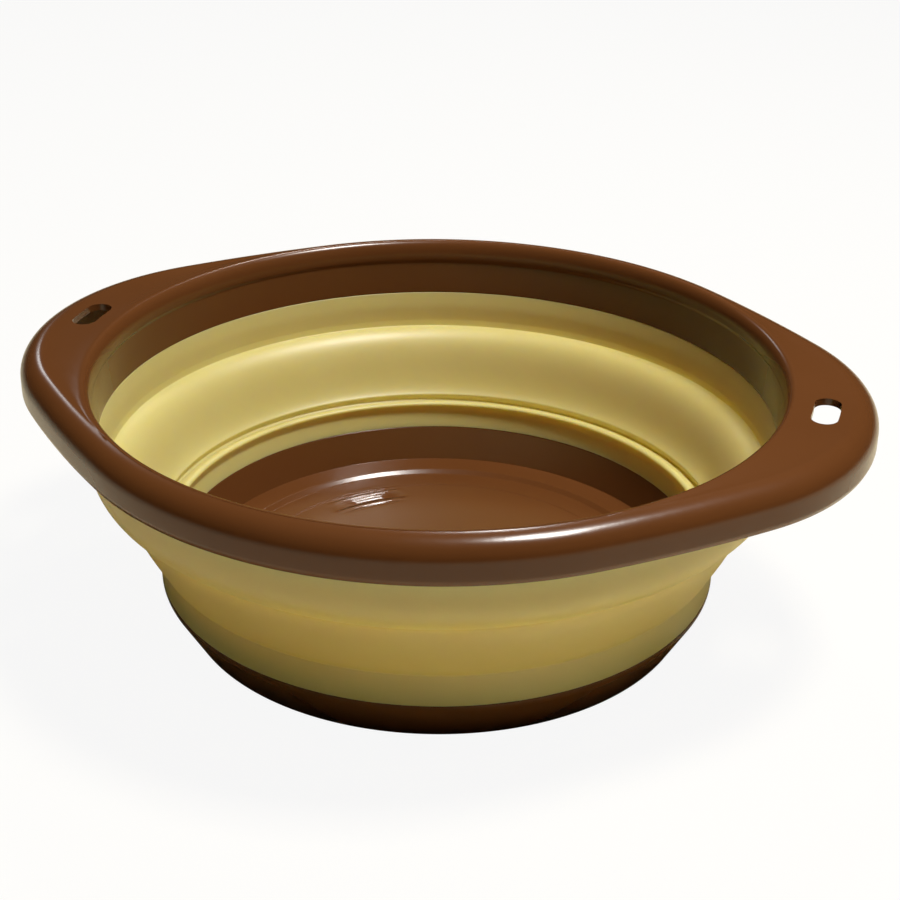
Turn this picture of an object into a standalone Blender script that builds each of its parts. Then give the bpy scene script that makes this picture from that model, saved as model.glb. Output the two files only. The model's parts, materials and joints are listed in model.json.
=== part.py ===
"""Collapsible basin: a hard rim frame with two handle lobes, a soft wall in three rings
and a hard base pan. Metres, +Z up, the foot on Z = 0, the handle lobes at +X and -X.

The soft wall folds at two fold lines, so the rim comes down twice the middle ring's height
while the middle ring comes down once its height.
"""
import math

import bmesh
import bpy

# Hard parts
MOUTH_RADIUS = 0.1270          # inside of the rim's wall, at its bottom edge
RIM_WALL = 0.0022              # thickness of the rim moulding
RIM_WALL_HEIGHT = 0.0230       # from the rim wall's bottom edge up to the crest
RIM_WIDTH = 0.0130             # from the mouth out to the skirt, away from the handles
SKIRT_HEIGHT = 0.0150          # from the crest down to the skirt's bottom edge
SKIRT_TUCK = 0.0012            # how far the skirt leans in towards its bottom edge
WALL_FLARE = 0.0030            # how far the rim's wall leans out towards its top
BEAD_OVERHANG = 0.0006         # the inner bead stands this far inside the wall below it
BEAD_RADIUS = 0.0036           # rounding of the inner bead
CREST_HEIGHT = 0.0090          # height of the crest's outer rounding
CREST_WIDTH = 0.0065           # width of the crest's outer rounding

# Handle lobes
HANDLE_REACH = 0.0350          # from the mouth out to the lobe's tip
HANDLE_ARC = 0.0900            # radius of the lobe's outline
HANDLE_BLEND = 0.0190          # how softly the lobe runs into the round rim
PLATE_SINK = 0.0005            # the handle plate lies this far below the crest
PLATE_SHOULDER = 0.0030        # width of the slope from a crest down to the plate
SLOT_LENGTH = 0.0220           # hanging slot, along the rim
SLOT_WIDTH = 0.0095            # hanging slot, across the rim
SLOT_OFFSET = 0.0164           # from the mouth out to the middle of the slot
SLOT_CUT_DEPTH = 0.0060        # the cutting shape reaches this far above and below the plate

# Soft wall
CLEARANCE = 0.0003             # gap between faces that touch or slide on the real object
LAP_WALL = 0.0018              # soft wall lapped round the rim's wall
LAP_HEIGHT = 0.0110            # how far the lap climbs the rim's wall
UPPER_RING_HEIGHT = 0.0195     # from the upper fold line to the rim wall's bottom edge
UPPER_RING_TAPER = 0.0018      # how far the upper ring's inside leans in
LEDGE_RISE = 0.0051            # from the upper fold line up to the shoulder's edge
LEDGE_SLOPE = 0.0024           # how far the ledge falls towards the fold
LEDGE_WIDTH = 0.0055           # from the shoulder's edge in to the upper fold line
FOLD_WALL = 0.0012             # thickness at the upper fold line
MIDDLE_RING_HEIGHT = 0.0250    # between the two fold lines
MIDDLE_RING_TAPER = 0.0101     # how much narrower the middle ring is at its bottom edge
MIDDLE_LIP_WALL = 0.0017       # thickness at the lower fold line
MIDDLE_LIP_DROP = 0.0010       # how far the middle ring's bottom edge hangs below the fold line
MIDDLE_LIP_HEIGHT = 0.0047     # height of the straight lip at the lower fold line
MIDDLE_BULGE = 1.25            # 1 makes the middle ring's outside a straight cone
SWEEP_LOW = (0.50, 0.20)       # middle ring's inside: pull at the lip, share of reach and rise
SWEEP_HIGH = (0.42, 0.83)      # and pull at the top, share of reach and rise
LOWER_RING_HEIGHT = 0.0145     # from the foot's shoulder to the lower fold line
LOWER_LAP_WALL = 0.0024        # soft wall lapped round the base's lip
GROOVE_DEPTH = 0.0015          # fine groove inside the lower fold line
GROOVE_WIDTH = 0.0012

# Base pan
FOOT_HEIGHT = 0.0180           # from the table to where the soft wall starts
FOOT_TAPER = 0.0091            # how much the foot draws in towards the table
FOOT_EDGE = 0.0020             # straight edge above the foot's taper
BASE_LIP_HEIGHT = 0.0050       # the lip behind the soft wall's lap
BASE_LIP_WALL = 0.0030
BASE_WALL = 0.0025             # thickness of the floor and of the foot's skirt
FOOT_CONTACT = 0.0019          # width of the ring that touches the table
FLOOR_CLEAR = 0.0045           # from the table to the floor's underside
COVE_RADIUS = 0.0110           # rounding between the floor and the upstand
UPSTAND_LEAN = 0.0006          # how far the upstand leans out towards its top
UNDER_COVE_ANGLE = -30         # degrees, where the cove's underside starts
FLOOR_STEP = 0.0006            # height of each turned step in the floor
OUTER_STEP_INSET = 0.0135      # from the upstand in to the outer step
INNER_STEP_INSET = 0.0250      # from the upstand in to the inner step

SEGMENTS = 72                  # facets round the basin
ARC_STEPS = 4                  # facets in a rounded corner
SWEEP_STEPS = 6                # facets in a fold's long curve
MERGE_DISTANCE = 0.00001
SHARP_ANGLE = 35               # degrees, edges sharper than this stay crisp

# Heights, stacked up from the table
BASE_LIP_Z = FOOT_HEIGHT + BASE_LIP_HEIGHT
LOWER_FOLD_Z = FOOT_HEIGHT + LOWER_RING_HEIGHT
UPPER_FOLD_Z = LOWER_FOLD_Z + MIDDLE_RING_HEIGHT
RIM_WALL_Z = UPPER_FOLD_Z + UPPER_RING_HEIGHT
CREST_Z = RIM_WALL_Z + RIM_WALL_HEIGHT

# Radii, stepped in from the mouth
UPPER_LIP_RADIUS = MOUTH_RADIUS - UPPER_RING_TAPER - LEDGE_WIDTH
MIDDLE_TOP_RADIUS = UPPER_LIP_RADIUS - CLEARANCE
MIDDLE_BOTTOM_RADIUS = MIDDLE_TOP_RADIUS - MIDDLE_RING_TAPER
MIDDLE_LIP_RADIUS = MIDDLE_BOTTOM_RADIUS - MIDDLE_LIP_WALL
LOWER_RADIUS = MIDDLE_LIP_RADIUS - CLEARANCE
BASE_LIP_RADIUS = LOWER_RADIUS - LOWER_LAP_WALL - CLEARANCE
PAN_RADIUS = BASE_LIP_RADIUS - BASE_LIP_WALL
RIM_RADIUS = MOUTH_RADIUS + RIM_WIDTH


def arc(centre, radii, start, end, steps=ARC_STEPS):
    """Points (radius, height) on an ellipse's arc, both ends included, angles in degrees."""
    points = []
    for i in range(steps + 1):
        angle = math.radians(start + (end - start) * i / steps)
        points.append((centre[0] + radii[0] * math.cos(angle),
                       centre[1] + radii[1] * math.sin(angle)))
    return points


def bezier(start, pull_start, pull_end, end, steps):
    """Points (radius, height) on a cubic curve, both ends included."""
    points = []
    for i in range(steps + 1):
        t = i / steps
        weights = ((1 - t) ** 3, 3 * t * (1 - t) ** 2, 3 * t * t * (1 - t), t ** 3)
        corners = (start, pull_start, pull_end, end)
        points.append(tuple(sum(w * c[k] for w, c in zip(weights, corners)) for k in (0, 1)))
    return points


def clear_scene():
    for old in list(bpy.data.objects):
        bpy.data.objects.remove(old, do_unlink=True)


def plastic(name, colour, roughness):
    material = bpy.data.materials.new(name)
    material.use_nodes = True
    shader = material.node_tree.nodes["Principled BSDF"]
    shader.inputs["Base Color"].default_value = (*colour, 1.0)
    shader.inputs["Roughness"].default_value = roughness
    shader.inputs["Metallic"].default_value = 0.0
    return material


def add_object(name, mesh, seat_z, material, collection):
    """A mesh whose origin is on the basin's axis, at the height where the piece is seated."""
    obj = bpy.data.objects.new(name, mesh)
    obj.location.z = seat_z
    mesh.materials.append(material)
    collection.objects.link(obj)
    return obj


def smooth(mesh):
    mesh.shade_smooth()
    mesh.set_sharp_from_angle(angle=math.radians(SHARP_ANGLE))


def turned(name, profile, closed, seat_z, material, collection):
    """Turn a profile of (radius, height) points about the basin's axis."""
    mesh = bpy.data.meshes.new(name)
    count = len(profile)
    edges = [(i, i + 1) for i in range(count - 1)]
    if closed:
        edges.append((count - 1, 0))
    mesh.from_pydata([(r, 0, z - seat_z) for r, z in profile], edges, [])
    obj = add_object(name, mesh, seat_z, material, collection)
    screw = obj.modifiers.new("turn", "SCREW")
    screw.steps = SEGMENTS
    screw.render_steps = SEGMENTS
    screw.use_merge_vertices = True
    screw.merge_threshold = MERGE_DISTANCE
    screw.use_smooth_shade = True
    return obj


def outline_radius(angle):
    """Radius of the rim's outline: the round rim, swelled out by the two handle lobes."""
    round_part = RIM_RADIUS
    centre = MOUTH_RADIUS + HANDLE_REACH - HANDLE_ARC
    along = centre * abs(math.cos(angle))
    across = centre * math.sin(angle)
    lobe = along + math.sqrt(max(HANDLE_ARC ** 2 - across ** 2, 0.0))
    overlap = max(HANDLE_BLEND - abs(lobe - round_part), 0.0) / HANDLE_BLEND
    return max(lobe, round_part) + overlap ** 2 * HANDLE_BLEND / 4


def rim_section(outer):
    """The rim's section where its outline is at this radius: an upside-down U whose top is
    the crest of the round rim, or the handle plate between two crests."""
    wall_top = (MOUTH_RADIUS + WALL_FLARE, CREST_Z - 2 * BEAD_RADIUS)
    inner_crest = wall_top[0] - BEAD_OVERHANG + BEAD_RADIUS
    outer_crest = outer - CREST_WIDTH
    gap = outer_crest - inner_crest
    slope = min(PLATE_SHOULDER, gap / 3)
    share = min(gap / (4 * PLATE_SHOULDER), 1.0)
    plate_z = CREST_Z - PLATE_SINK * share * share * (3 - 2 * share)
    skirt_z = CREST_Z - SKIRT_HEIGHT
    bead_centre = (inner_crest, CREST_Z - BEAD_RADIUS)
    crest_centre = (outer_crest, CREST_Z - CREST_HEIGHT)
    crest_radii = (CREST_WIDTH, CREST_HEIGHT)
    under_radii = (CREST_WIDTH - RIM_WALL, CREST_HEIGHT - RIM_WALL)
    points = [(MOUTH_RADIUS, RIM_WALL_Z), wall_top]
    points += arc(bead_centre, (BEAD_RADIUS, BEAD_RADIUS), 180, 90)
    points += [(inner_crest + slope, plate_z), (outer_crest - slope, plate_z)]
    points += arc(crest_centre, crest_radii, 90, 0, ARC_STEPS + 1)
    points += [(outer - SKIRT_TUCK, skirt_z), (outer - SKIRT_TUCK - RIM_WALL, skirt_z)]
    points += arc(crest_centre, under_radii, 0, 90, ARC_STEPS - 1)[:-1]
    points += [(outer_crest, plate_z - RIM_WALL), (inner_crest, plate_z - RIM_WALL)]
    points += [(wall_top[0] + RIM_WALL, wall_top[1]), (MOUTH_RADIUS + RIM_WALL, RIM_WALL_Z)]
    return points


def slot_cutter(side, collection):
    """A slot that follows the rim, as a closed outline with thickness, over one handle."""
    middle = MOUTH_RADIUS + SLOT_OFFSET
    end_radius = SLOT_WIDTH / 2
    half_turn = (SLOT_LENGTH / 2 - end_radius) / middle
    outline = []
    for start, turn in ((0, half_turn), (180, -half_turn)):
        end = arc((middle, 0), (end_radius, end_radius), start, start + 180, 2 * ARC_STEPS)
        for x, y in end:
            outline.append((side * (x * math.cos(turn) - y * math.sin(turn)),
                            side * (x * math.sin(turn) + y * math.cos(turn))))
    curve = bpy.data.curves.new("slot_outline", "CURVE")
    curve.dimensions = "2D"
    curve.fill_mode = "BOTH"
    curve.extrude = SLOT_CUT_DEPTH
    spline = curve.splines.new("POLY")
    spline.points.add(len(outline) - 1)
    for point, (x, y) in zip(spline.points, outline):
        point.co = (x, y, 0, 1)
    spline.use_cyclic_u = True
    guide = bpy.data.objects.new("slot_outline", curve)
    collection.objects.link(guide)
    bpy.context.view_layer.update()
    evaluated = guide.evaluated_get(bpy.context.evaluated_depsgraph_get())
    mesh = bpy.data.meshes.new_from_object(evaluated)
    bpy.data.objects.remove(guide, do_unlink=True)
    shape = bmesh.new()
    shape.from_mesh(mesh)
    bmesh.ops.remove_doubles(shape, verts=shape.verts, dist=MERGE_DISTANCE)
    bmesh.ops.recalc_face_normals(shape, faces=shape.faces)
    shape.to_mesh(mesh)
    shape.free()
    cutter = bpy.data.objects.new("slot_cutter", mesh)
    cutter.location.z = CREST_Z - PLATE_SINK
    cutter.hide_render = True
    cutter.display_type = "WIRE"
    collection.objects.link(cutter)
    return cutter


def rim_frame(material, parts, cutters):
    """The rim is a loft: its section changes all the way round each handle lobe."""
    seat_z = RIM_WALL_Z
    shape = bmesh.new()
    rings = []
    for i in range(SEGMENTS):
        angle = 2 * math.pi * i / SEGMENTS
        ring = []
        for r, z in rim_section(outline_radius(angle)):
            ring.append(shape.verts.new((r * math.cos(angle), r * math.sin(angle), z - seat_z)))
        rings.append(ring)
    for i in range(SEGMENTS):
        here = rings[i]
        following = rings[(i + 1) % SEGMENTS]
        count = len(here)
        for j in range(count):
            k = (j + 1) % count
            shape.faces.new((here[j], here[k], following[k], following[j]))
    bmesh.ops.recalc_face_normals(shape, faces=shape.faces)
    mesh = bpy.data.meshes.new("rim_frame")
    shape.to_mesh(mesh)
    shape.free()
    smooth(mesh)
    obj = add_object("rim_frame", mesh, seat_z, material, parts)
    for side in (1, -1):
        cut = obj.modifiers.new("hanging_slot", "BOOLEAN")
        cut.operation = "DIFFERENCE"
        cut.solver = "EXACT"
        cut.object = slot_cutter(side, cutters)
    return obj


def upper_ring(material, parts):
    """Soft ring lapped round the rim's wall, with the shoulder ledge down to the fold."""
    lap_inside = MOUTH_RADIUS + RIM_WALL + CLEARANCE
    lap_outside = lap_inside + LAP_WALL
    lean = WALL_FLARE * LAP_HEIGHT / (RIM_WALL_HEIGHT - 2 * BEAD_RADIUS)
    lap_top = RIM_WALL_Z + LAP_HEIGHT
    under_rim = RIM_WALL_Z - CLEARANCE
    shoulder = (MOUTH_RADIUS - UPPER_RING_TAPER, UPPER_FOLD_Z + LEDGE_RISE)
    lip_top = (UPPER_LIP_RADIUS, shoulder[1] - LEDGE_SLOPE)
    lip_bottom = (UPPER_LIP_RADIUS, lip_top[1] - FOLD_WALL)
    bend_z = shoulder[1] + 2 * LEDGE_WIDTH
    edge = LEDGE_WIDTH / 4
    profile = [(lap_outside + lean, lap_top), (lap_outside, RIM_WALL_Z)]
    profile += bezier((lap_outside, bend_z), (lap_outside, shoulder[1] + edge),
                      (shoulder[0] + edge, shoulder[1]), lip_bottom, SWEEP_STEPS)
    profile += [lip_top, (shoulder[0] - edge, shoulder[1] - edge / 2)]
    profile += [(shoulder[0], shoulder[1] + edge / 2), (MOUTH_RADIUS, under_rim)]
    profile += [(lap_inside, under_rim), (lap_inside + lean, lap_top)]
    return turned("upper_ring", profile, True, RIM_WALL_Z, material, parts)


def middle_ring(material, parts):
    """Soft ring between the fold lines, the one that turns inside out as the basin folds."""
    top_z = UPPER_FOLD_Z + LEDGE_RISE - LEDGE_SLOPE
    belly_z = top_z - FOLD_WALL - CLEARANCE
    bottom_z = LOWER_FOLD_Z - MIDDLE_LIP_DROP
    profile = [(MIDDLE_TOP_RADIUS, top_z)]
    for i in range(SWEEP_STEPS + 1):
        share = i / SWEEP_STEPS
        r = MIDDLE_BOTTOM_RADIUS + MIDDLE_RING_TAPER * (1 - share ** MIDDLE_BULGE)
        profile.append((r, belly_z + (bottom_z - belly_z) * share))
    lip_top = (MIDDLE_LIP_RADIUS, bottom_z + MIDDLE_LIP_HEIGHT)
    reach = MIDDLE_TOP_RADIUS - MIDDLE_LIP_RADIUS
    rise = top_z - lip_top[1]
    pull_low = (lip_top[0] + reach * SWEEP_LOW[0], lip_top[1] + rise * SWEEP_LOW[1])
    pull_high = (lip_top[0] + reach * SWEEP_HIGH[0], lip_top[1] + rise * SWEEP_HIGH[1])
    inside = bezier(lip_top, pull_low, pull_high, (MIDDLE_TOP_RADIUS, top_z), SWEEP_STEPS + 2)
    profile.append((MIDDLE_LIP_RADIUS, bottom_z))
    profile += inside[:-1]
    return turned("middle_ring", profile, True, LOWER_FOLD_Z, material, parts)


def lower_ring(material, parts):
    """Soft ring from the lower fold down to the lap round the base's lip."""
    seat_z = FOOT_HEIGHT + CLEARANCE
    over_lip = BASE_LIP_Z + CLEARANCE
    top_z = LOWER_FOLD_Z - MIDDLE_LIP_DROP + MIDDLE_LIP_HEIGHT - CLEARANCE
    lap_inside = LOWER_RADIUS - LOWER_LAP_WALL
    middle = (LOWER_RADIUS + PAN_RADIUS) / 2
    groove_side = GROOVE_WIDTH / 2
    groove_edge_z = top_z - GROOVE_DEPTH / 3
    profile = [(LOWER_RADIUS, top_z), (LOWER_RADIUS, seat_z), (lap_inside, seat_z)]
    profile += [(lap_inside, over_lip), (PAN_RADIUS, over_lip)]
    profile += [(PAN_RADIUS, top_z - 2 * GROOVE_WIDTH)]
    profile += [(PAN_RADIUS + groove_side, top_z - GROOVE_WIDTH)]
    profile += [(middle - groove_side, groove_edge_z), (middle, top_z - GROOVE_DEPTH)]
    profile += [(middle + groove_side, groove_edge_z)]
    return turned("lower_ring", profile, True, seat_z, material, parts)


def base_pan(material, parts):
    """Dish with a floor in three levels, a coved upstand, a lip for the soft wall and a foot
    whose underside is cored out to an even wall."""
    floor_z = FLOOR_CLEAR + BASE_WALL
    outer_step = PAN_RADIUS - OUTER_STEP_INSET
    inner_step = PAN_RADIUS - INNER_STEP_INSET
    foot_radius = LOWER_RADIUS - FOOT_TAPER
    cove_centre = (PAN_RADIUS - COVE_RADIUS - UPSTAND_LEAN, floor_z + COVE_RADIUS)
    under_cove = COVE_RADIUS + BASE_WALL
    core_top = FOOT_HEIGHT - FOOT_EDGE - BASE_WALL
    core_radius = LOWER_RADIUS - FOOT_CONTACT - BASE_WALL / 2
    profile = [(0, floor_z + 2 * FLOOR_STEP), (inner_step, floor_z + 2 * FLOOR_STEP)]
    profile += [(inner_step + FLOOR_STEP, floor_z + FLOOR_STEP)]
    profile += [(outer_step, floor_z + FLOOR_STEP), (outer_step + FLOOR_STEP, floor_z)]
    profile += arc(cove_centre, (COVE_RADIUS, COVE_RADIUS), -90, 0)
    profile += [(PAN_RADIUS, BASE_LIP_Z), (BASE_LIP_RADIUS, BASE_LIP_Z)]
    profile += [(BASE_LIP_RADIUS, FOOT_HEIGHT), (LOWER_RADIUS, FOOT_HEIGHT)]
    profile += [(LOWER_RADIUS, FOOT_HEIGHT - FOOT_EDGE), (foot_radius, 0)]
    profile += [(foot_radius - FOOT_CONTACT, 0), (core_radius, core_top)]
    profile += arc(cove_centre, (under_cove, under_cove), UNDER_COVE_ANGLE, -90, ARC_STEPS - 1)
    profile += [(0, FLOOR_CLEAR)]
    return turned("base_pan", profile, False, 0.0, material, parts)


def main():
    clear_scene()
    parts = bpy.data.collections.new("collapsible_basin")
    cutters = bpy.data.collections.new("cutters")
    bpy.context.scene.collection.children.link(parts)
    bpy.context.scene.collection.children.link(cutters)
    brown = plastic("brown_gloss_plastic", (0.150, 0.052, 0.022), 0.22)
    cream = plastic("cream_soft_rubber", (0.640, 0.520, 0.190), 0.48)
    base_pan(brown, parts)
    lower_ring(cream, parts)
    middle_ring(cream, parts)
    upper_ring(cream, parts)
    rim_frame(brown, parts, cutters)


main()
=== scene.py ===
# %% [markdown]
# # A collapsible basin
#
# The object is a round folding wash basin. It has a hard glossy brown rim with two handle
# lobes, a hard glossy brown pan, and between them one soft cream-yellow wall with two thin
# fold lines. When the rim is pressed down, the middle of the wall turns inside out.
#
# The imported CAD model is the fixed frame. It says where everything is, and the finer
# pieces made here stand in its place.

# %% Load the frame and keep its box
import json
import math

import bpy
from mathutils import Matrix, Vector

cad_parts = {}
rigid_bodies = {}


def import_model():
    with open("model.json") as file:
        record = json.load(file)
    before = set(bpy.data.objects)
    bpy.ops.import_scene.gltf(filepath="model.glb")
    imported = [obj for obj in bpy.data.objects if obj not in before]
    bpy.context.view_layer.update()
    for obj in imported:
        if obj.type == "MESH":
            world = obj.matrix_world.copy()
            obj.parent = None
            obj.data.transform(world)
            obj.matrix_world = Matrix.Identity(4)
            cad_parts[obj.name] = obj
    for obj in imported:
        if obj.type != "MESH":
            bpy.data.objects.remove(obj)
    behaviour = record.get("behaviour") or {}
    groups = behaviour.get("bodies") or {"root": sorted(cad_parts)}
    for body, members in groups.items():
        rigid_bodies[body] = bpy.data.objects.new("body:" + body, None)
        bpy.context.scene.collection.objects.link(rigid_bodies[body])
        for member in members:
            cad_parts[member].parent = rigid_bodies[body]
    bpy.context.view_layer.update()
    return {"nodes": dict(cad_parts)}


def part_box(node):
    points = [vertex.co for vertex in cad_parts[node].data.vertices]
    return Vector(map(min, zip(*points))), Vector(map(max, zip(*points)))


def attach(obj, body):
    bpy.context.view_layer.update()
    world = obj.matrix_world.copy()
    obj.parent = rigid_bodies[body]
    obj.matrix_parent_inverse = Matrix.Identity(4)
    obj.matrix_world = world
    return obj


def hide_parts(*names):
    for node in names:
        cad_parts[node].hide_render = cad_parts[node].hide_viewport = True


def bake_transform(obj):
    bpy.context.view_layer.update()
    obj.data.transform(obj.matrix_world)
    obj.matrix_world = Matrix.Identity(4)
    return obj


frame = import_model()
print("CAD nodes:", ", ".join(sorted(frame["nodes"])))

# %% [markdown]
# ## Sizes from the frame
#
# The basin is turned about the Z axis, so a node's box gives its radius and its heights.
# Every profile below is built up from these few values, and only the small sizes of
# beads, lips and roundings are chosen here.

# %% Read the levels and radii
RIM_WIDTH = 0.0130
LEDGE_DEPTH = 0.0015
HINGE_HEIGHT = 0.0010
LIP_HEIGHT = 0.0050
UPSTAND_INSET = 0.0057

rim_low, rim_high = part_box("rim_frame")
upper_low, upper_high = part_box("upper_ring")
middle_low, middle_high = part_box("middle_ring")
lower_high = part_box("lower_ring")[1]
pan_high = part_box("base_pan")[1]

rim_radius = rim_high.y
tip_radius = rim_high.x
crest_z = rim_high.z
mouth_z = rim_low.z
mouth_radius = rim_radius - RIM_WIDTH
upper_fold_z = upper_low.z - LEDGE_DEPTH
lower_fold_z = middle_low.z + HINGE_HEIGHT
wall_radius = lower_high.x
foot_z = pan_high.z - LIP_HEIGHT
upstand_radius = wall_radius - UPSTAND_INSET
print(f"rim {rim_radius * 2000:.0f} mm across, {tip_radius * 2000:.0f} mm over the handles")
print(f"fold lines at {lower_fold_z * 1000:.1f} and {upper_fold_z * 1000:.1f} mm")

# %% [markdown]
# ## Drawing a section
#
# A moulded basin is easiest to describe by its section: a handful of corners, each a
# radius, a height and a rounding in metres. `rounded` turns the corners into a smooth line
# of points, and `sweep` fills in a long free curve between two of them. Where two corners
# share a straight stretch, each rounding may use nearly half of it.

# %% Corners with a rounding, and long curves
ARC_STEP = math.radians(10)
SHARED_STRETCH = 0.48
OWN_STRETCH = 0.98


def sweep(start, pull_start, pull_end, end, steps):
    """Corners (radius, height, rounding) along a cubic curve, without its two ends."""
    corners = []
    for i in range(1, steps):
        t = i / steps
        weights = ((1 - t) ** 3, 3 * t * (1 - t) ** 2, 3 * t * t * (1 - t), t ** 3)
        points = (start, pull_start, pull_end, end)
        radius, height = (sum(w * p[k] for w, p in zip(weights, points)) for k in (0, 1))
        corners.append((radius, height, 0))
    return corners


def rounded(corners, closed):
    """Points along a line of corners, each replaced by an arc of its own rounding."""
    points = []
    count = len(corners)
    for i, (x, y, rounding) in enumerate(corners):
        corner = Vector((x, y))
        is_end = not closed and i in (0, count - 1)
        if rounding == 0 or is_end:
            points.append(corner)
            continue
        before, after = corners[i - 1], corners[(i + 1) % count]
        to_last = Vector(before[:2]) - corner
        to_next = Vector(after[:2]) - corner
        last_way = to_last.normalized()
        next_way = to_next.normalized()
        half = math.acos(max(-1.0, min(1.0, last_way.dot(next_way)))) / 2
        cut = rounding / math.tan(half)
        for way, neighbour in ((to_last, before), (to_next, after)):
            cut = min(cut, way.length * (SHARED_STRETCH if neighbour[2] else OWN_STRETCH))
        radius = cut * math.tan(half)
        centre = corner + (last_way + next_way).normalized() * radius / math.sin(half)
        first = corner + last_way * cut - centre
        turn = first.angle_signed(corner + next_way * cut - centre)
        steps = max(2, math.ceil(abs(turn) / ARC_STEP))
        for k in range(steps + 1):
            points.append(centre + Matrix.Rotation(-turn * k / steps, 2) @ first)
    return points


print("a square corner is rounded in", math.ceil(math.pi / 2 / ARC_STEP), "steps")

# %% [markdown]
# ## Turning a section
#
# By hand, a lathe shape starts as one point. A small plane is added and merged to its
# middle, the point is extruded along the section, and the line is spun about the axis.
# A Screw modifier would do the same, but the spin tool is what the rim needs later, where
# one section runs round several centres in turn.

# %% Draw a line of points, and spin it all the way round
TURN_STEPS = 288
MERGE = 0.00001
SEED_SIZE = 0.001
SMOOTH_ANGLE = math.radians(40)


def nothing_selected():
    """Leave edit mode and deselect everything, so operators act on one piece only."""
    if bpy.context.mode != "OBJECT":
        bpy.ops.object.mode_set(mode="OBJECT")
    bpy.ops.object.select_all(action="DESELECT")


def draw_line(points, closed):
    """In edit mode, extrude one point along the section, in the plane Y = 0."""
    bpy.ops.mesh.select_all(action="DESELECT")
    bpy.ops.mesh.primitive_plane_add(size=SEED_SIZE, location=(points[0].x, 0, points[0].y))
    bpy.ops.mesh.merge(type="CENTER")
    for here, there in zip(points, points[1:]):
        step = (there.x - here.x, 0, there.y - here.y)
        bpy.ops.mesh.extrude_vertices_move(TRANSFORM_OT_translate={"value": step})
    if closed:
        step = (points[0].x - points[-1].x, 0, points[0].y - points[-1].y)
        bpy.ops.mesh.extrude_vertices_move(TRANSFORM_OT_translate={"value": step})


def empty_mesh(name):
    """A new mesh object at the origin, with nothing in it yet, in edit mode."""
    nothing_selected()
    bpy.ops.mesh.primitive_plane_add(size=SEED_SIZE)
    piece = bpy.context.object
    piece.name = name
    piece.data.name = name
    bpy.ops.object.mode_set(mode="EDIT")
    bpy.ops.mesh.delete(type="VERT")
    return piece


def close_up():
    """Merge doubles, turn the faces outwards and leave edit mode with smooth shading."""
    bpy.ops.mesh.select_all(action="SELECT")
    bpy.ops.mesh.remove_doubles(threshold=MERGE)
    bpy.ops.mesh.normals_make_consistent(inside=False)
    bpy.ops.object.mode_set(mode="OBJECT")
    bpy.ops.object.shade_smooth_by_angle(angle=SMOOTH_ANGLE)


def turned(name, corners, closed):
    """A piece made by turning one section about the Z axis."""
    piece = empty_mesh(name)
    draw_line(rounded(corners, closed), closed)
    bpy.ops.mesh.select_all(action="SELECT")
    bpy.ops.mesh.spin(steps=TURN_STEPS, angle=math.tau, center=(0, 0, 0), axis=(0, 0, 1))
    close_up()
    print(name, "has", len(piece.data.polygons), "faces")
    return piece


# %% [markdown]
# ## The pan
#
# The pan is a hard injection moulding. Its floor steps up twice on the way out to the cove,
# the upstand ends in a lip for the soft wall to grip, and the foot draws in towards the
# table. Underneath it is cored out, so that the wall stays even. Everything about it is
# round, so one section turned about the axis makes the whole pan. The outer step is a short
# straight slope, because that is what catches the lamp in one bright arc.

# %% Turn the pan
COVE = 0.00012
PAN_WALL = 0.0025
FLOOR_CLEAR = 0.0045
OUTER_STEP = 0.0017
INNER_STEP = 0.0003
RUN_PER_RISE = 0.65
FOOT_CONTACT = 0.0019

lip_radius = wall_radius - 0.0027
lip_z = pan_high.z
floor_z = FLOOR_CLEAR + PAN_WALL
outer_step = upstand_radius - 0.0146
inner_step = upstand_radius - 0.0252
foot_radius = wall_radius - 0.0091
cove_radius = upstand_radius - 0.0036
inner_level = floor_z + INNER_STEP
outer_level = inner_level + OUTER_STEP
step_run = RUN_PER_RISE * OUTER_STEP

pan_corners = [
    (0, floor_z, 0),
    (inner_step - INNER_STEP, floor_z, 0.0006),
    (inner_step + INNER_STEP, inner_level, 0.0006),
    (outer_step - step_run, inner_level, 0.0016),
    (outer_step + step_run, outer_level, 0.0016),
    (cove_radius, outer_level, COVE),
    (upstand_radius, lip_z, 0.0004),
    (lip_radius, lip_z, 0.0004),
    (lip_radius, foot_z, 0.0002),
    (wall_radius, foot_z, 0.0005),
    (wall_radius, foot_z - 0.0020, 0.0040),
    (foot_radius, 0, 0.0007),
    (foot_radius - FOOT_CONTACT, 0, 0.0007),
    (wall_radius - FOOT_CONTACT - PAN_WALL / 2, foot_z - 0.0045, 0.0015),
    (upstand_radius - 0.0006, FLOOR_CLEAR + 0.0050, 0.0040),
    (upstand_radius - 0.0116, FLOOR_CLEAR, 0.0060),
    (0, FLOOR_CLEAR, 0),
]
pan = turned("pan", pan_corners, closed=False)

# %% [markdown]
# ## The soft wall
#
# The wall is one soft moulding, so it is one closed piece here, although the frame has
# three rings. From the rim down it has a lap round the rim's wall, a broad ring that ends
# in a bright ledge, the upper fold, a middle ring with a long S-shaped inside, the lower
# fold with its fine groove and rounded ridge, and a lower ring that laps the pan's lip.

# %% Turn the soft wall
SEAM = 0.00005
LAP_GAP = 0.0003
RIM_WALL = 0.0022

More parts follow.
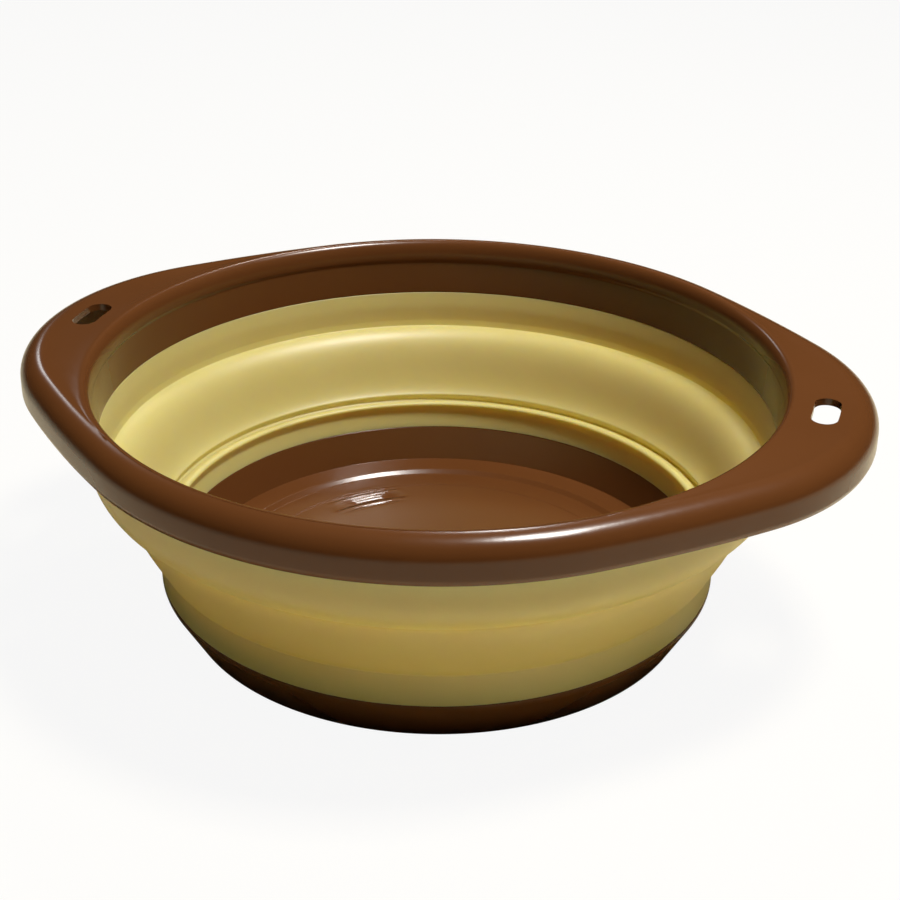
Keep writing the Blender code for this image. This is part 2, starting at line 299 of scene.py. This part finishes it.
lap_lean = 0.0021
lap_outside = upper_high.x - lap_lean
lap_inside = mouth_radius + RIM_WALL + LAP_GAP
shoulder = (mouth_radius - 0.0018, upper_fold_z + 0.0051)
fold_out = middle_high.x
fold_top = middle_high.z
lip_out = fold_out - 0.0101
lip_in = lip_out - 0.0017
ridge_top = lower_high.z - 0.0014
fold_in = (lip_in - 0.0004, middle_low.z + 0.0047)
rise = fold_top - fold_in[1]
reach = fold_out - lip_in
lap_end = (lap_outside, upper_fold_z + 0.0161)
ledge_edge = (fold_out + 0.0012, upper_fold_z - 0.0003)
under_ledge = (fold_out + 0.0006, upper_fold_z - 0.0020)
ledge_inside = (shoulder[0] - 0.0002, shoulder[1] - 0.0006)

outside_upper = sweep(
    lap_end, (lap_outside, upper_fold_z + 0.0070),
    (shoulder[0] + 0.0022, shoulder[1] - 0.0010), ledge_edge, steps=14)
outside_middle = sweep(
    under_ledge, (fold_out - 0.0006, upper_fold_z - 0.0085),
    (lip_out + 0.0044, lower_fold_z + 0.0070), (lip_out + 0.0002, lower_fold_z), steps=20)
inside_middle = sweep(
    fold_in, (lip_in + reach * 0.50, fold_in[1] + rise * 0.20),
    (lip_in + reach * 0.46, fold_top + 0.0003), ledge_inside, steps=32)

wall_corners = [
    (lap_outside + lap_lean, upper_high.z, 0.0004),
    (lap_outside, mouth_z, 0.0200),
    (*lap_end, 0),
    *outside_upper,
    (*ledge_edge, 0.0010),
    (*under_ledge, 0.0030),
    *outside_middle,
    (lip_out + 0.0004, lower_fold_z - 0.0002, 0.0006),
    (lip_out - 0.0002, middle_low.z, 0.0008),
    (wall_radius, middle_low.z + 0.0002, 0.0005),
    (wall_radius, foot_z + SEAM, 0.0002),
    (lip_radius + LAP_GAP, foot_z + SEAM, 0),
    (lip_radius + LAP_GAP, lip_z + SEAM, 0),
    (upstand_radius, lip_z + SEAM, 0.0002),
    (upstand_radius + 0.0018, lip_z + 0.0066, 0.0030),
    (upstand_radius + 0.0006, lip_z + 0.0103, 0.0010),
    (upstand_radius + 0.0009, ridge_top - 0.0005, 0.0012),
    (upstand_radius + 0.0022, ridge_top, 0.0024),
    (upstand_radius + 0.0038, ridge_top - 0.0005, 0.0020),
    (lip_in - 0.0001, ridge_top - 0.0014, 0.0003),
    (lip_in + 0.0006, ridge_top - 0.0007, 0.0003),
    (*fold_in, 0.0008),
    *inside_middle,
    (*ledge_inside, 0.0004),
    (shoulder[0] + 0.0002, shoulder[1] + 0.0020, 0.0020),
    (mouth_radius - 0.0013, mouth_z - 0.0060, 0.0200),
    (mouth_radius, mouth_z - SEAM, 0.0003),
    (lap_inside, mouth_z - SEAM, 0),
    (lap_inside + lap_lean, upper_high.z, 0.0004),
]
soft_wall = turned("soft_wall", wall_corners, closed=True)

# %% [markdown]
# ## The rim
#
# The rim's section is an upside-down U: the inner wall with its bead, the top, and the
# outer crest with its skirt. The inside is round, but the outside swells into two lobes.
# Seen from above, a quarter of the outline is three arcs that meet smoothly: the lobe, a
# flat flank, and the round rim. So the outer section is spun about three centres in turn,
# the inner section about the axis, the top and the underside are bridged between them,
# and a Mirror modifier makes the whole rim from the quarter.

# %% Find the three centres
QUARTER_STEPS = 72
LOBE_RADIUS = 0.0940
FLANK_RADIUS = 0.5000

lobe_x = tip_radius - LOBE_RADIUS
to_round = FLANK_RADIUS - rim_radius
to_lobe = FLANK_RADIUS - LOBE_RADIUS
flank_x = (to_round ** 2 - to_lobe ** 2 + lobe_x ** 2) / (2 * lobe_x)
flank_y = -math.sqrt(to_round ** 2 - flank_x ** 2)
flank_start = math.atan2(-flank_y, lobe_x - flank_x)
flank_end = math.atan2(-flank_y, -flank_x)
arcs = [
    ((lobe_x, 0, 0), LOBE_RADIUS, flank_start),
    ((flank_x, flank_y, 0), FLANK_RADIUS, flank_end - flank_start),
    ((0, 0, 0), rim_radius, math.pi / 2 - flank_end),
]
outline_length = sum(radius * angle for centre, radius, angle in arcs)
print("a quarter of the outline is", round(outline_length * 1000), "mm long")

# %% Draw the two halves of the section
ROLL_WIDTH = 0.0036
ROLL_HEIGHT = 0.0070
CREST_WIDTH = 0.0094
CREST_HEIGHT = 0.0080
CREST_START = math.radians(8)
SKIRT_HEIGHT = 0.0157

roll_inside = mouth_radius + 0.0010
roll_top = roll_inside + ROLL_WIDTH
roll_end = roll_top + 0.0004
side_run = CREST_WIDTH * (1 - math.sin(CREST_START))
ridge_z = crest_z - CREST_HEIGHT * (1 - math.cos(CREST_START))
skirt_z = crest_z - SKIRT_HEIGHT
under_z = crest_z - RIM_WALL - 0.0008


def quarter_ellipse(centre_x, centre_z, width, height, steps, start=0.0):
    """Corners from straight above the centre round to straight beside it."""
    corners = []
    for i in range(steps + 1):
        angle = start + (math.pi / 2 - start) * i / steps
        corners.append((centre_x + width * math.sin(angle),
                        centre_z + height * math.cos(angle), 0))
    return corners


inner_section = [
    (roll_end, crest_z, 0),
    *quarter_ellipse(roll_top, crest_z - ROLL_HEIGHT, -ROLL_WIDTH, ROLL_HEIGHT, 16),
    (roll_inside, crest_z - ROLL_HEIGHT - 0.0010, 0.0012),
    (roll_inside + 0.0005, crest_z - ROLL_HEIGHT - 0.0024, 0.0020),
    (mouth_radius, mouth_z, 0.0004),
    (mouth_radius + RIM_WALL, mouth_z, 0.0002),
    (roll_inside + RIM_WALL, crest_z - ROLL_HEIGHT, 0.0020),
    (roll_top, under_z, 0.0020),
    (roll_end, under_z, 0),
]
outer_section = [
    *quarter_ellipse(tip_radius - CREST_WIDTH, crest_z - CREST_HEIGHT,
                     CREST_WIDTH, CREST_HEIGHT, 18, CREST_START),
    (tip_radius, skirt_z + 0.0022, 0.0030),
    (tip_radius - 0.0010, skirt_z, 0.0008),
    (tip_radius - 0.0030, skirt_z, 0.0008),
    (tip_radius - RIM_WALL, crest_z - 0.0085, 0.0050),
    (tip_radius - 0.0050, under_z, 0.0020),
    (tip_radius - side_run, under_z, 0),
]
print("the rim's section has", len(inner_section) + len(outer_section), "corners")

# %% Spin the two halves and bridge them
PLATE_ROWS = 11
LEVEL_SLACK = 0.0006
TOP_EDGE_DROP = 0.0002


def select_open_edges(height):
    """Select the open edges near this height, without the two ends of the quarter."""
    bpy.ops.mesh.select_mode(type="EDGE")
    bpy.ops.mesh.select_all(action="SELECT")
    bpy.ops.mesh.region_to_loop()
    bpy.ops.object.mode_set(mode="OBJECT")
    mesh = bpy.context.object.data
    for edge in mesh.edges:
        if edge.select:
            ends = [mesh.vertices[v].co for v in edge.vertices]
            at_end = any(max(abs(p[k]) for p in ends) < MERGE for k in (0, 1))
            at_height = all(abs(p.z - height) < LEVEL_SLACK for p in ends)
            edge.select = at_height and not at_end
    bpy.ops.object.mode_set(mode="EDIT")


rim = empty_mesh("rim")
draw_line(rounded(outer_section, closed=False), closed=False)
bpy.ops.mesh.select_all(action="SELECT")
for centre, radius, angle in arcs:
    steps = round(QUARTER_STEPS * radius * angle / outline_length)
    bpy.ops.mesh.spin(steps=steps, angle=-angle, center=centre, axis=(0, 0, 1))
draw_line(rounded(inner_section, closed=False), closed=False)
bpy.ops.mesh.select_linked()
bpy.ops.mesh.spin(steps=QUARTER_STEPS, angle=-math.pi / 2, center=(0, 0, 0), axis=(0, 0, 1))
bpy.ops.mesh.select_all(action="SELECT")
bpy.ops.mesh.remove_doubles(threshold=MERGE)
for height, cuts in ((crest_z - TOP_EDGE_DROP, PLATE_ROWS), (under_z, 1)):
    select_open_edges(height)
    bpy.ops.mesh.bridge_edge_loops(number_cuts=cuts, interpolation="LINEAR")
bpy.ops.object.mode_set(mode="OBJECT")
print("the rim's quarter has", len(rim.data.polygons), "faces")

# %% Mirror the quarter
mirror = rim.modifiers.new("other quarters", "MIRROR")
mirror.use_axis = (True, True, False)
mirror.merge_threshold = MERGE
bpy.ops.object.modifier_apply(modifier=mirror.name)
print("the whole rim has", len(rim.data.polygons), "faces")

# %% [markdown]
# The plate of each lobe lies a little lower than the roll on its inside and the ridge on
# its outside. Its rows are lowered in small steps, each one for the points that lie
# farther from both edges, so the hollow fades out where the lobe does. Smoothing then
# takes the steps away.

# %% Sink the plates
PLATE_DROP = 0.00004
PLATE_BAND = 0.0015
PLATE_DISTANCES = (0.0005, 0.0009, 0.0013, 0.0018, 0.0024, 0.0031, 0.0040, 0.0052)


def edge_distance(point):
    """How far a point of the plate lies from the nearer of its two edges."""
    flat = Vector((abs(point.x), abs(point.y), 0))
    for (centre, radius, angle), last_angle in zip(arcs, (flank_start, flank_end, math.pi)):
        from_centre = flat - Vector(centre)
        if math.atan2(from_centre.y, from_centre.x) <= last_angle:
            return min(flat.length - roll_end, radius - from_centre.length - side_run)


def select_plate(distance):
    """Select the points of the plates that lie farther than this from both edges."""
    nothing_selected()
    rim.select_set(True)
    bpy.context.view_layer.objects.active = rim
    for part in (rim.data.vertices, rim.data.edges, rim.data.polygons):
        part.foreach_set("select", [False] * len(part))
    for vertex in rim.data.vertices:
        if vertex.co.z > ridge_z - PLATE_BAND:
            vertex.select = edge_distance(vertex.co) > distance
    bpy.ops.object.mode_set(mode="EDIT")
    bpy.ops.mesh.select_mode(type="VERT")


for distance in PLATE_DISTANCES:
    select_plate(distance)
    bpy.ops.transform.translate(value=(0, 0, -PLATE_DROP))
select_plate(MERGE)
bpy.ops.mesh.vertices_smooth(factor=0.5, repeat=4, xaxis=False, yaxis=False, zaxis=True)
close_up()
print("rim has", len(rim.data.polygons), "faces")

# %% [markdown]
# ## The hanging slots
#
# Each lobe has a slot that follows the rim and has round ends. The wall of its cutter is
# an upright edge spun about four centres in turn: the basin's axis, one end of the slot,
# the axis again, and the other end. A Boolean modifier then takes the cutter out of the
# rim, because the plate's own rows don't run round the slot.

# %% Cut the slots
SLOT_LENGTH = 0.0220
SLOT_WIDTH = 0.0095
CUT_HEIGHT = 0.0200
SIDE_STEPS = 8
END_STEPS = 24
slot_radius = mouth_radius + 0.0164
half_turn = (SLOT_LENGTH - SLOT_WIDTH) / 2 / slot_radius


def slot_cutter(side):
    """A closed upright block in the shape of the slot, through the plate of one lobe."""
    cutter = empty_mesh("slot_cutter")
    first, last = (Matrix.Rotation(turn, 3, "Z") @ Vector((side * slot_radius, 0, 0))
                   for turn in (-half_turn, half_turn))
    start = first * (1 + SLOT_WIDTH / 2 / slot_radius)
    draw_line([Vector((start.x, crest_z - CUT_HEIGHT / 2)),
               Vector((start.x, crest_z + CUT_HEIGHT / 2))], closed=False)
    bpy.ops.mesh.select_all(action="SELECT")
    bpy.ops.transform.translate(value=(0, start.y, 0))
    middle = (0, 0, 0)
    turns = ((middle, 2 * half_turn, SIDE_STEPS), (last, math.pi, END_STEPS),
             (middle, -2 * half_turn, SIDE_STEPS), (first, math.pi, END_STEPS))
    for centre, angle, steps in turns:
        bpy.ops.mesh.spin(steps=steps, angle=-angle, center=centre, axis=(0, 0, 1))
    bpy.ops.mesh.select_all(action="SELECT")
    bpy.ops.mesh.remove_doubles(threshold=MERGE)
    bpy.ops.mesh.fill_holes(sides=0)
    close_up()
    return cutter


for side in (1, -1):
    cutter = slot_cutter(side)
    nothing_selected()
    rim.select_set(True)
    bpy.context.view_layer.objects.active = rim
    cut = rim.modifiers.new("hanging slot", "BOOLEAN")
    cut.object = cutter
    cut.solver = "EXACT"
    bpy.ops.object.modifier_apply(modifier=cut.name)
    bpy.data.objects.remove(cutter, do_unlink=True)
bpy.ops.object.shade_smooth_by_angle(angle=SMOOTH_ANGLE)
print("rim has", len(rim.data.polygons), "faces after the cuts")

# %% [markdown]
# ## Materials
#
# A material is a small sum over the surface, so its maths is written as sums. `Amount`
# wraps a socket, and adding or multiplying two amounts adds the Math node for it.

# %% A notation for shader maths
class Amount:
    """A socket with one number at each point of the surface."""

    def __init__(self, finish, socket):
        self.finish = finish
        self.socket = socket

    def math(self, operation, *others):
        values = dict(enumerate((self, *others)))
        return self.finish.node("ShaderNodeMath", {"operation": operation}, values)

    def __add__(self, other):
        return self.math("ADD", other)

    def __mul__(self, other):
        return self.math("MULTIPLY", other)

    def __sub__(self, other):
        return self.math("SUBTRACT", other)

    def __rsub__(self, other):
        settings = {"operation": "SUBTRACT"}
        return self.finish.node("ShaderNodeMath", settings, {0: other, 1: self})

    __radd__ = __add__
    __rmul__ = __mul__


class Finish:
    """A material whose nodes are added one call at a time."""

    def __init__(self, name):
        self.material = bpy.data.materials.new(name)
        self.material.use_nodes = True
        self.tree = self.material.node_tree
        self.shader = self.tree.nodes["Principled BSDF"]
        self.place = self.node("ShaderNodeTexCoord", {}, {}, output="Object")

    def node(self, kind, settings, values, output=0):
        made = self.tree.nodes.new(kind)
        for name, value in settings.items():
            setattr(made, name, value)
        for name, value in values.items():
            self.feed(made.inputs[name], value)
        return Amount(self, made.outputs[output])

    def feed(self, socket, value):
        if isinstance(value, Amount):
            self.tree.links.new(value.socket, socket)
        else:
            socket.default_value = value

    def noise(self, scale, detail=2.0):
        return self.node("ShaderNodeTexNoise", {},
                         {"Vector": self.place, "Scale": scale, "Detail": detail}, "Fac")

    def blend(self, share, low, high):
        """Mix two colours, which a Mix node has at its sockets 6 and 7."""
        return self.node("ShaderNodeMix", {"data_type": "RGBA"},
                         {0: share, 6: low, 7: high}, 2)

    def ramp(self, value, low, high):
        """0 below low, 1 above high, with a soft change between."""
        return self.node("ShaderNodeMapRange", {"interpolation_type": "SMOOTHSTEP"},
                         {0: value, 1: low, 2: high})

    def slope(self, value, low, high):
        """0 below low, 1 above high, with a straight rise between."""
        return self.node("ShaderNodeMapRange", {}, {0: value, 1: low, 2: high})

    def along(self, axis):
        """The place along X, Y or Z, for axis 0, 1 or 2."""
        return self.node("ShaderNodeSeparateXYZ", {}, {0: self.place}, axis)

    def radius(self):
        x, y = self.along(0), self.along(1)
        return (x * x + y * y).math("SQRT")

    def height(self):
        return self.along(2)

    def relief(self, height):
        """Bump from a height in metres."""
        normal = self.node("ShaderNodeBump", {},
                           {"Height": height, "Distance": 1.0}, "Normal")
        self.feed(self.shader.inputs["Normal"], normal)

    def set(self, **values):
        for name, value in values.items():
            self.feed(self.shader.inputs[name.replace("_", " ")], value)


# %% [markdown]
# ### Glossy brown plastic
#
# The rim and the pan are polished mouldings in chocolate brown. Under a lamp they show a
# faint orange peel, and their polish is a little uneven. One patch of the pan's floor also
# keeps rings of the turned mould: each falls away steeply and then rises at an even slope,
# and that slope throws a lamp's image back as the floor's bright spot. Only their slopes
# show, so they are bump and not geometry, and the patch is more polished than the rest.

# %% Brown plastic, with turned rings where they are asked for
BROWNS = ((0.112, 0.038, 0.010, 1), (0.142, 0.050, 0.014, 1))
PATCH_MIDDLE = (-0.0477, 0.0517, 0.0075)
PATCH_FADE = (0.006, 0.020)
PATCH_POLISH = 0.50
UPPER_SIDE = (0.0052, 0.0065)
BAND_START = (0.060, 0.064)
BAND_END = (0.077, 0.081)
RING_SLOPE = 0.28
RINGS = ((0.0636, 0.0647, 0.0006), (0.0672, 0.0732, 0.0014), (0.0745, 0.0762, 0.0007))
FINE_RING_WIDTH = 0.0021
FINE_RING_DEPTH = 0.00005
PEEL_DEPTH = 0.000010


def brown_plastic(name, turned_rings):
    finish = Finish(name)
    cloud = finish.noise(14.0)
    speck = finish.noise(700.0)
    peel = finish.noise(330.0, 1.0)
    polish = 0.13 + 0.10 * finish.noise(45.0) + 0.06 * speck
    if turned_rings:
        patch = finish.node("ShaderNodeVectorMath", {"operation": "DISTANCE"},
                            {0: finish.place, 1: PATCH_MIDDLE}, "Value")
        on_top = finish.ramp(finish.height(), *UPPER_SIDE)
        near = (1 - finish.ramp(patch, *PATCH_FADE)) * on_top
        polish = polish * (1 - PATCH_POLISH * near)
    finish.set(Base_Color=finish.blend(cloud, *BROWNS),
               Roughness=polish,
               Specular_IOR_Level=0.38,
               IOR=1.50)
    height = PEEL_DEPTH * peel
    if turned_rings:
        radius = finish.radius()
        fine = (radius * (math.tau / FINE_RING_WIDTH)).math("SINE")
        band = finish.ramp(radius, *BAND_START) * (1 - finish.ramp(radius, *BAND_END))
        height = height + near * (FINE_RING_DEPTH * band * fine * finish.noise(90.0))
        for low, high, fall in RINGS:
            ring = finish.slope(radius, low, high) - finish.slope(radius, low - fall, low)
            height = height + near * (RING_SLOPE * (high - low) * ring)
    finish.relief(height)
    print(name, "has", len(finish.tree.nodes), "nodes")
    return finish.material


# %% [markdown]
# ### Soft cream rubber
#
# The wall is a satin elastomer in cream yellow whose colour drifts slightly. It lets light
# in, red farther than blue, and so its shaded outside looks warm and golden. Subsurface
# scattering does that, where a plain diffuse colour would leave the outside dull.

# %% Cream rubber
CREAMS = ((0.605, 0.508, 0.170, 1), (0.655, 0.562, 0.210, 1))
GRAIN_DEPTH = 0.000004
WAVE_DEPTH = 0.00006


def cream_rubber(name):
    finish = Finish(name)
    cloud = finish.noise(22.0)
    grain = finish.noise(1600.0)
    finish.set(Base_Color=finish.blend(cloud, *CREAMS),
               Roughness=0.42 + 0.10 * finish.noise(60.0),
               Subsurface_Weight=0.45,
               Subsurface_Radius=(0.012, 0.0085, 0.0020),
               Subsurface_Scale=1.0,
               Specular_IOR_Level=0.80,
               IOR=1.50)
    finish.relief(GRAIN_DEPTH * grain + WAVE_DEPTH * finish.noise(38.0))
    print(name, "has", len(finish.tree.nodes), "nodes")
    return finish.material


# %% [markdown]
# ## Bodies
#
# The pan stays with the base and the rim goes down with its own body. The soft wall is held
# by both, and on the real basin what lies between its two fold lines turns inside out as
# the rim sinks. Here it gets no body and no blend: only its place is baked into its points.

# %% Give each piece its finish, and the pan and the rim their bodies
def finish_piece(piece, material):
    piece.data.materials.clear()
    piece.data.materials.append(material)


finish_piece(pan, brown_plastic("brown_pan", turned_rings=True))
finish_piece(rim, brown_plastic("brown_rim", turned_rings=False))
finish_piece(soft_wall, cream_rubber("cream_wall"))

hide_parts("base_pan")
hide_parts("rim_frame")
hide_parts("upper_ring", "middle_ring", "lower_ring")
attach(pan, "base")
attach(rim, "rim")
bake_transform(soft_wall)
print("pan, rim and soft_wall stand for", len(frame["nodes"]), "CAD nodes")

# %% [markdown]
# ## Floor, light and camera
#
# The floor and the world look nearly white, but only to the camera. That white lights
# nothing: the light comes from three lamps, a trace from the world, and what the floor's
# own cream colour sends back. The key lamp stands high, a little to the right, and gives
# the shape, the crest's highlight and the bright arc in the pan. A small lamp behind puts
# the bright spot into the turned rings, and a far window at the back left draws the thin
# line of light along the ridge.

# %% Floor
FLOOR_SIZE = 40
WHITENESS = 0.92

nothing_selected()
bpy.ops.mesh.primitive_plane_add(size=FLOOR_SIZE)
floor = bpy.context.object
floor.name = "floor"


def floor_finish():
    finish = Finish("pale_floor")
    finish.set(Base_Color=(0.92, 0.83, 0.60, 1), Roughness=0.9)
    seen = finish.node("ShaderNodeLightPath", {}, {}, "Is Camera Ray")
    white = finish.node("ShaderNodeEmission", {}, {"Strength": 1.0})
    mixed = finish.node("ShaderNodeMixShader", {},
                        {0: seen * WHITENESS, 1: Amount(finish, finish.shader.outputs[0]),
                         2: white})
    output = finish.tree.nodes["Material Output"]
    finish.tree.links.new(mixed.socket, output.inputs["Surface"])
    return finish.material


floor.data.materials.append(floor_finish())
print("the floor is", FLOOR_SIZE, "m wide")

# %% Lamps
def lamp(name, place, aim, size, power, colour):
    bpy.ops.object.light_add(type="AREA", location=place)
    light = bpy.context.object
    light.name = name
    light.data.shape = "RECTANGLE"
    light.data.size, light.data.size_y = size
    light.data.energy = power
    light.data.color = colour
    light.rotation_euler = (Vector(aim) - Vector(place)).to_track_quat("-Z", "Y").to_euler()
    print(name, "gives", power, "W")


basin_middle = (0, 0, 0.05)
lamp("key_lamp", (0.34, 0.05, 1.19), basin_middle, (0.28, 0.26), 16.5, (1.0, 0.98, 0.94))
lamp("back_lamp", (-0.12, 0.75, 1.04), basin_middle, (0.10, 0.10), 2.0, (1.0, 0.98, 0.95))
lamp("window", (-1.56, 1.62, 1.12), basin_middle, (0.20, 0.46), 2.2, (0.95, 0.98, 1.0))

# %% World
world = bpy.data.worlds.new("studio")
bpy.context.scene.world = world
world.use_nodes = True
nodes, links = world.node_tree.nodes, world.node_tree.links
sky = nodes["Background"]
backdrop = nodes.new("ShaderNodeBackground")
for background, colour, strength in ((sky, (1.0, 0.92, 0.75, 1), 0.01),
                                     (backdrop, (1, 1, 1, 1), WHITENESS)):
    background.inputs["Color"].default_value = colour
    background.inputs["Strength"].default_value = strength
seen = nodes.new("ShaderNodeLightPath")
either = nodes.new("ShaderNodeMixShader")
links.new(seen.outputs["Is Camera Ray"], either.inputs[0])
links.new(sky.outputs[0], either.inputs[1])
links.new(backdrop.outputs[0], either.inputs[2])
links.new(either.outputs[0], nodes["World Output"].inputs["Surface"])
print("the world has", len(nodes), "nodes")

# %% [markdown]
# The camera stands where the photograph was taken from. Its place, turn and lens come from
# a fit of the rim, the wall and the foot to their outlines in the picture.

# %% Camera, at the photograph's place
CAMERA_AZIMUTH = math.radians(16.70)
CAMERA_ELEVATION = math.radians(26.49)
CAMERA_ROLL = math.radians(0.68)
CAMERA_DISTANCE = 0.6655
CAMERA_AIM = Vector((0.0061, -0.0043, 0.0650))
LENS = 70.15

back = Vector((math.sin(CAMERA_AZIMUTH) * math.cos(CAMERA_ELEVATION),
               -math.cos(CAMERA_AZIMUTH) * math.cos(CAMERA_ELEVATION),
               math.sin(CAMERA_ELEVATION)))
bpy.ops.object.camera_add(location=CAMERA_AIM + back * CAMERA_DISTANCE)
camera = bpy.context.object
camera.data.lens = LENS
camera.data.sensor_width = 36.0
upright = back.to_track_quat("Z", "Y")
camera.rotation_mode = "QUATERNION"
camera.rotation_quaternion = upright @ Matrix.Rotation(CAMERA_ROLL, 3, "Z").to_quaternion()
bpy.context.scene.camera = camera
bpy.context.scene.view_settings.view_transform = "Standard"
print("the camera is", round(camera.location.length * 1000), "mm from the foot's middle")
